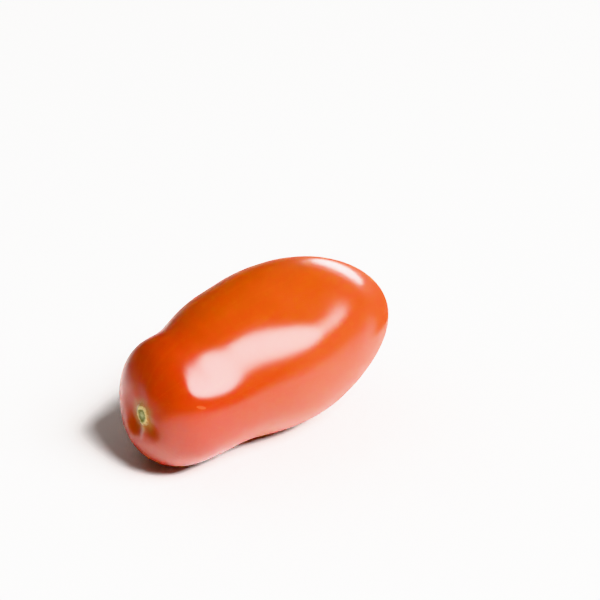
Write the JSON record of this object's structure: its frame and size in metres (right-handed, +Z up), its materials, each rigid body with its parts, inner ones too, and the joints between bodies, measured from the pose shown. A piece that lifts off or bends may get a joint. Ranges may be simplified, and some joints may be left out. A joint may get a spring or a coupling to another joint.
{
  "type": "plum tomato",
  "caption": "Ripe plum tomato, long and slightly waisted, with its round stem scar, lying on its side.",
  "frame": {"origin": "on the surface that the tomato lies on, under the middle of its box", "axes": "+Z up, +X along the fruit from the stem scar to the blossom end"},
  "size_m": [0.0862, 0.0442, 0.0425],
  "materials": {
    "skin": "smooth waxy skin"
  },
  "bodies": {
    "root": {"tomato": "skin"}
  },
  "joints": []
}
